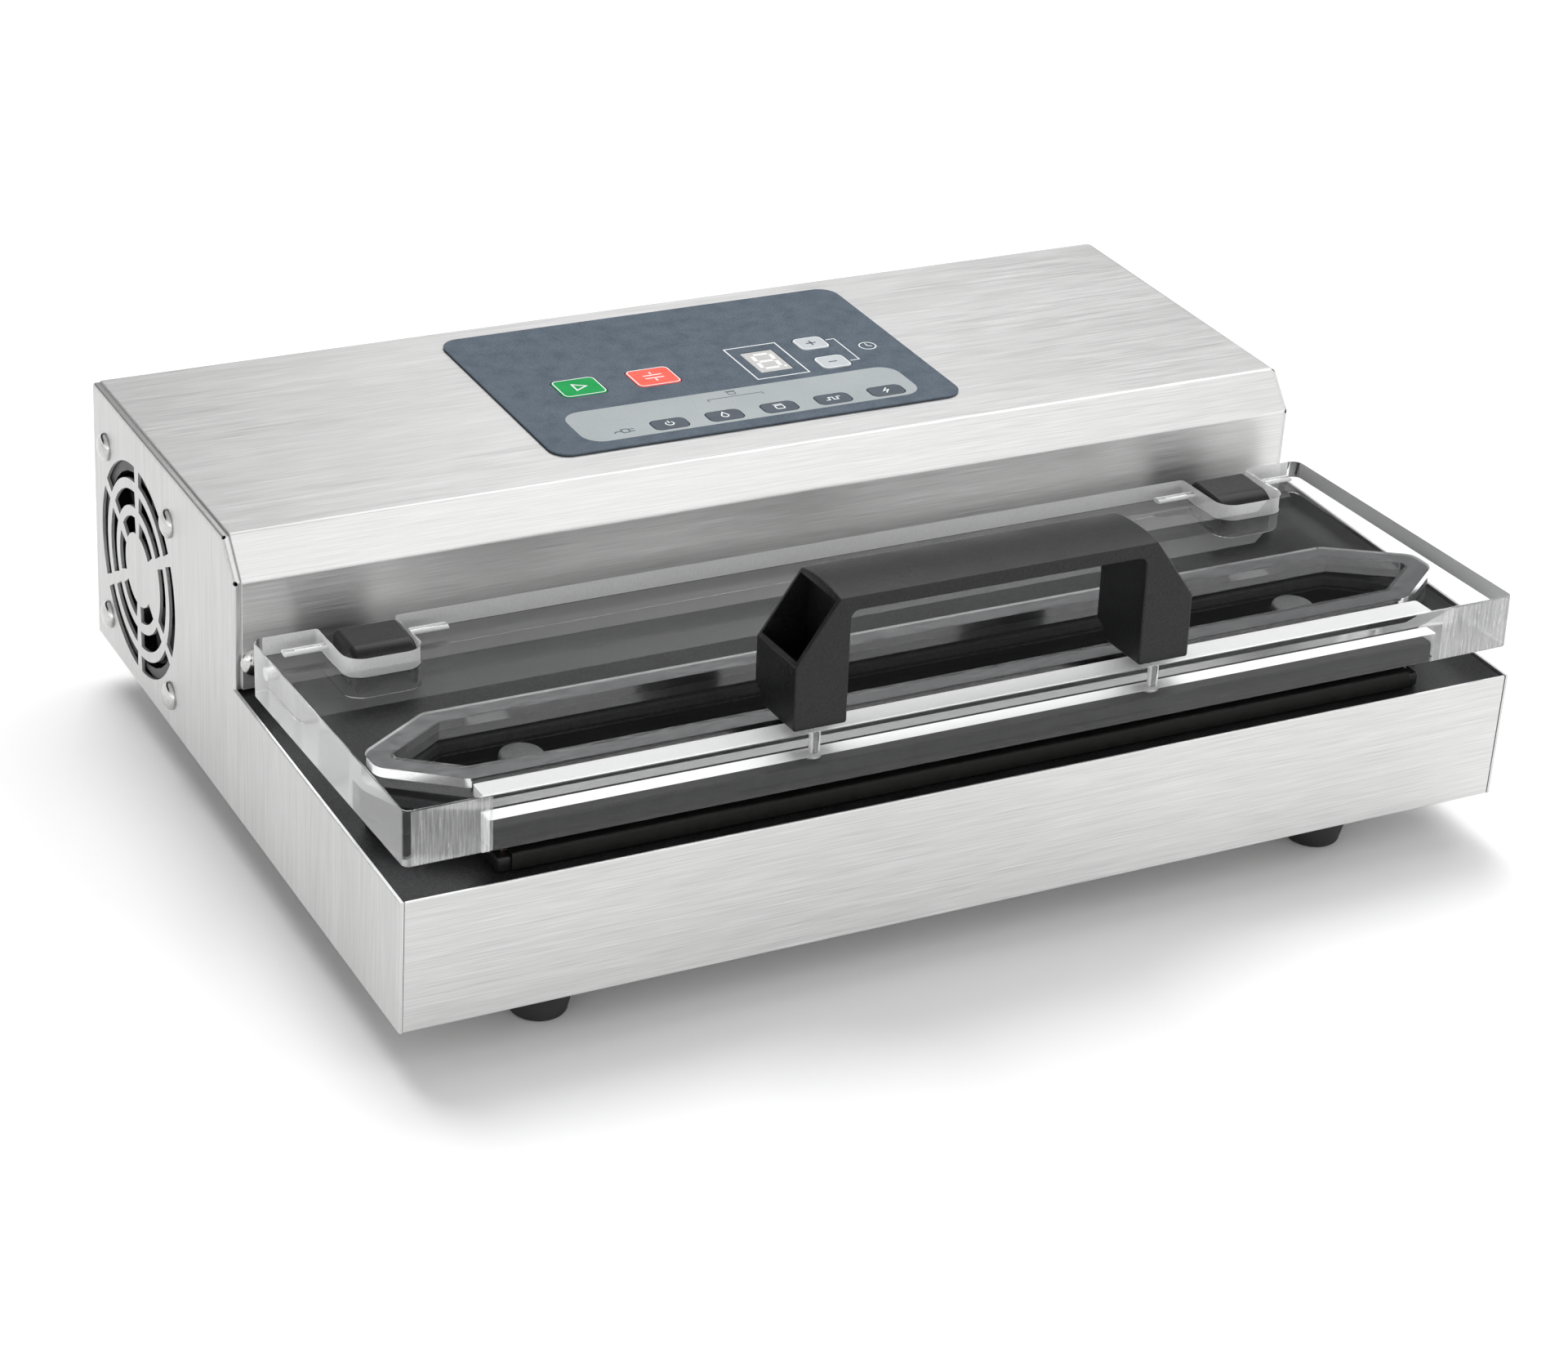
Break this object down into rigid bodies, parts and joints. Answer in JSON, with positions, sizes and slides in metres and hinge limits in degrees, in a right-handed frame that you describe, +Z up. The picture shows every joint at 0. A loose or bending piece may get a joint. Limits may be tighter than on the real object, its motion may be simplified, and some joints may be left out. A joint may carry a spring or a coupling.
{
  "type": "vacuum sealer",
  "caption": "Countertop vacuum sealer: brushed steel housing with a keypad on top, a cooling fan, and a thick clear hinged lid with a bridge handle over a vacuum channel and seal bar.",
  "frame": {"origin": "under the centre of the object's bounding box, on the plane that the feet stand on", "axes": "+X to the right along the housing, +Y from the lid's handle towards the rear panel, +Z up"},
  "size_m": [0.4522, 0.312, 0.1501],
  "materials": {
    "brushed_steel": "brushed",
    "polished_steel": "polished",
    "black_deck": "fine grained satin",
    "black_plastic": "satin",
    "handle_plastic": "fine matte grain",
    "clear_acrylic": "clear, polished, with sawn edges",
    "black_rubber": "matte",
    "gasket_foam": "closed-cell foam",
    "tape": "woven non-stick tape",
    "overlay": "printed satin film",
    "green_key": "satin",
    "red_key": "satin",
    "grey_key": "satin",
    "dark_key": "satin",
    "smoked_window": "glossy",
    "circuit_board": "lacquered",
    "clip_plastic": "grained",
    "copper": "bright",
    "cast_aluminium": "cast",
    "silicone_hose": "matte"
  },
  "bodies": {
    "housing": {"chassis_pan": "brushed_steel", "housing_cover": "brushed_steel", "rear_panel": "brushed_steel", "work_deck": "black_deck", "drip_tray": "black_plastic", "lower_gasket": "gasket_foam", "seal_bar": "black_plastic", "heating_strip": "copper", "ptfe_cover": "tape", "bag_clip_left": "clip_plastic", "bag_clip_right": "clip_plastic", "hinge_block_left": "black_plastic", "hinge_block_right": "black_plastic", "hinge_pin_left": "polished_steel", "hinge_pin_right": "polished_steel", "fan_screw_1": "polished_steel", "fan_screw_2": "polished_steel", "fan_screw_3": "polished_steel", "fan_screw_4": "polished_steel", "wall_screw_left": "polished_steel", "wall_screw_right": "polished_steel", "foot_1": "black_rubber", "foot_2": "black_rubber", "foot_3": "black_rubber", "foot_4": "black_rubber", "control_overlay": "overlay", "display_window": "smoked_window", "control_board": "circuit_board", "display_digit": "black_plastic", "fan_frame": "black_plastic", "pump_motor": "cast_aluminium", "pump_head": "cast_aluminium", "pump_bracket": "polished_steel", "transformer": "cast_aluminium", "valve_body": "black_plastic", "chamber_hose": "silicone_hose", "pump_hose": "silicone_hose", "accessory_port": "black_plastic", "power_inlet": "black_plastic"},
    "lid": {"lid_panel": "clear_acrylic", "lid_handle": "handle_plastic", "lid_gasket": "gasket_foam", "seal_strip": "black_rubber", "handle_screw_left": "polished_steel", "handle_screw_right": "polished_steel"},
    "fan": {"fan_rotor": "black_plastic"},
    "flywheel": {"pump_flywheel": "cast_aluminium"},
    "plunger": {"valve_plunger": "polished_steel"},
    "key_start": {"key_start": "green_key"},
    "key_seal": {"key_seal": "red_key"},
    "key_time_up": {"key_time_up": "grey_key"},
    "key_time_down": {"key_time_down": "grey_key"},
    "key_power": {"key_power": "dark_key"},
    "key_marinate": {"key_marinate": "dark_key"},
    "key_accessory": {"key_accessory": "dark_key"},
    "key_pulse": {"key_pulse": "dark_key"},
    "key_impulse_seal": {"key_impulse_seal": "dark_key"}
  },
  "joints": [
    {"name": "lid_hinge", "type": "hinge", "parent": "housing", "child": "lid", "pos_m": [0, -0.0197, 0.0857], "axis": [-1, 0, 0], "range_deg": [0, 100]},
    {"name": "fan_spin", "type": "hinge", "parent": "housing", "child": "fan", "pos_m": [-0.2115, 0.1061, 0.0685], "axis": [1, 0, 0], "continuous": true},
    {"name": "pump_spin", "type": "hinge", "parent": "housing", "child": "flywheel", "pos_m": [-0.034, 0.08, 0.0575], "axis": [1, 0, 0], "continuous": true},
    {"name": "valve_lift", "type": "slide", "parent": "housing", "child": "plunger", "axis": [0, 0, 1], "range_m": [0, 0.004], "stiffness_N_per_m": 60},
    {"name": "key_start_press", "type": "slide", "parent": "housing", "child": "key_start", "axis": [0, 0, -1], "range_m": [0, 0.0005], "stiffness_N_per_m": 400},
    {"name": "key_seal_press", "type": "slide", "parent": "housing", "child": "key_seal", "axis": [0, 0, -1], "range_m": [0, 0.0005], "stiffness_N_per_m": 400},
    {"name": "key_time_up_press", "type": "slide", "parent": "housing", "child": "key_time_up", "axis": [0, 0, -1], "range_m": [0, 0.0005], "stiffness_N_per_m": 400},
    {"name": "key_time_down_press", "type": "slide", "parent": "housing", "child": "key_time_down", "axis": [0, 0, -1], "range_m": [0, 0.0005], "stiffness_N_per_m": 400},
    {"name": "key_power_press", "type": "slide", "parent": "housing", "child": "key_power", "axis": [0, 0, -1], "range_m": [0, 0.0005], "stiffness_N_per_m": 400},
    {"name": "key_marinate_press", "type": "slide", "parent": "housing", "child": "key_marinate", "axis": [0, 0, -1], "range_m": [0, 0.0005], "stiffness_N_per_m": 400},
    {"name": "key_accessory_press", "type": "slide", "parent": "housing", "child": "key_accessory", "axis": [0, 0, -1], "range_m": [0, 0.0005], "stiffness_N_per_m": 400},
    {"name": "key_pulse_press", "type": "slide", "parent": "housing", "child": "key_pulse", "axis": [0, 0, -1], "range_m": [0, 0.0005], "stiffness_N_per_m": 400},
    {"name": "key_impulse_seal_press", "type": "slide", "parent": "housing", "child": "key_impulse_seal", "axis": [0, 0, -1], "range_m": [0, 0.0005], "stiffness_N_per_m": 400}
  ]
}
